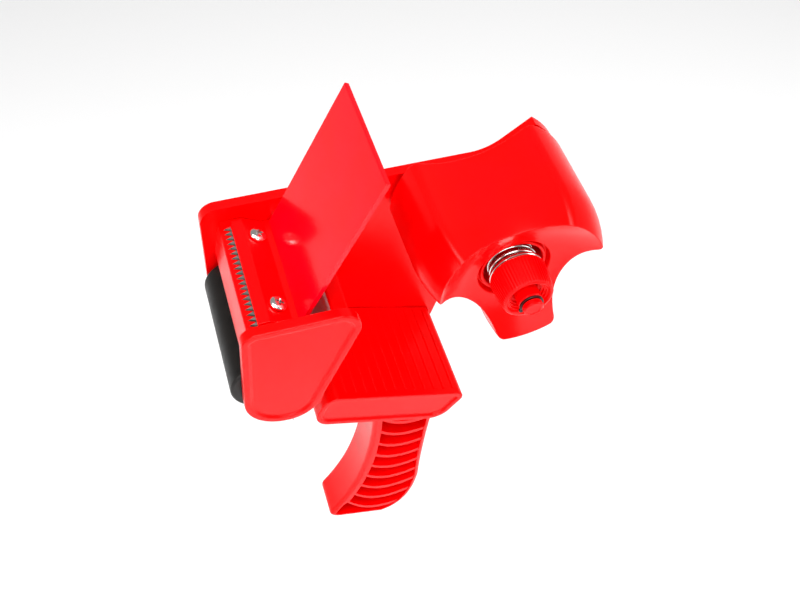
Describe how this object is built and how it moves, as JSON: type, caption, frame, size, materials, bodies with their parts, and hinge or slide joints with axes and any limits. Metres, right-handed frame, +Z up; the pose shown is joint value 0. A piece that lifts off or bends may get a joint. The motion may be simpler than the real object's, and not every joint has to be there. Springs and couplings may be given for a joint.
{
  "type": "tape gun dispenser",
  "caption": "Hand-held packing tape dispenser: pistol grip, three-lobed tape hub with a tension nut, rubber roller, toothed cutter and a springy tape flap.",
  "frame": {"origin": "inside the pistol grip, just behind its front wall and on the middle plane of the tape", "axes": "+X from the cutting head towards the tape hub, +Y towards the side plate, +Z up with the grip hanging down"},
  "size_m": [0.1526, 0.0712, 0.2607],
  "materials": {
    "red_plastic": "moulded gloss",
    "flap_plastic": "high gloss",
    "black_rubber": "satin",
    "dark_plastic": "satin",
    "bright_steel": "bright plated",
    "blade_steel": "dark satin steel",
    "blackened_steel": "blackened"
  },
  "bodies": {
    "frame": {"side_plate": "red_plastic", "head_frame": "red_plastic", "blade_clamp": "red_plastic", "hub_stud": "red_plastic", "base_block": "red_plastic", "grip": "red_plastic", "back_washer": "dark_plastic", "cheek_pin": "bright_steel", "clamp_screw_near": "bright_steel", "clamp_screw_far": "bright_steel", "roller_axle": "bright_steel", "stud_screw": "bright_steel", "head_screw_1": "bright_steel", "head_screw_2": "bright_steel", "head_screw_3": "bright_steel", "base_screw_1": "bright_steel", "base_screw_2": "bright_steel", "grip_screw_1": "bright_steel", "grip_screw_2": "bright_steel", "cutter_blade": "blade_steel", "retaining_clip": "blackened_steel"},
    "hub": {"hub": "red_plastic", "hub_bush": "dark_plastic", "friction_washer": "bright_steel", "tension_spring": "bright_steel"},
    "roller": {"roller_sleeve": "black_rubber", "roller_core": "dark_plastic"},
    "thrust_washer": {"thrust_washer": "bright_steel"},
    "tension_nut": {"tension_nut": "red_plastic"},
    "flap": {"flap": "flap_plastic"}
  },
  "joints": [
    {"name": "hub_spin", "type": "hinge", "parent": "frame", "child": "hub", "pos_m": [0.052, 0, 0.14], "axis": [0, 1, 0], "continuous": true},
    {"name": "roller_spin", "type": "hinge", "parent": "frame", "child": "roller", "pos_m": [-0.0506, 0, 0.1155], "axis": [0, 1, 0], "continuous": true},
    {"name": "washer_slide", "type": "slide", "parent": "frame", "child": "thrust_washer", "axis": [0, 1, 0], "range_m": [-0.0016, 0.0021], "deforming": ["tension_spring"]},
    {"name": "nut_turn", "type": "hinge", "parent": "thrust_washer", "child": "tension_nut", "pos_m": [0.052, 0, 0.14], "axis": [0, 1, 0], "range_deg": [-270, 360]},
    {"name": "flap_flex", "type": "hinge", "parent": "frame", "child": "flap", "pos_m": [-0.0344, 0, 0.1466], "axis": [0, 1, 0], "range_deg": [-25, 20], "stiffness_Nm_per_rad": 0.15}
  ],
  "couplings": [
    {"joint": "washer_slide", "follows": "nut_turn", "m_per_rad": 0.00031831}
  ]
}
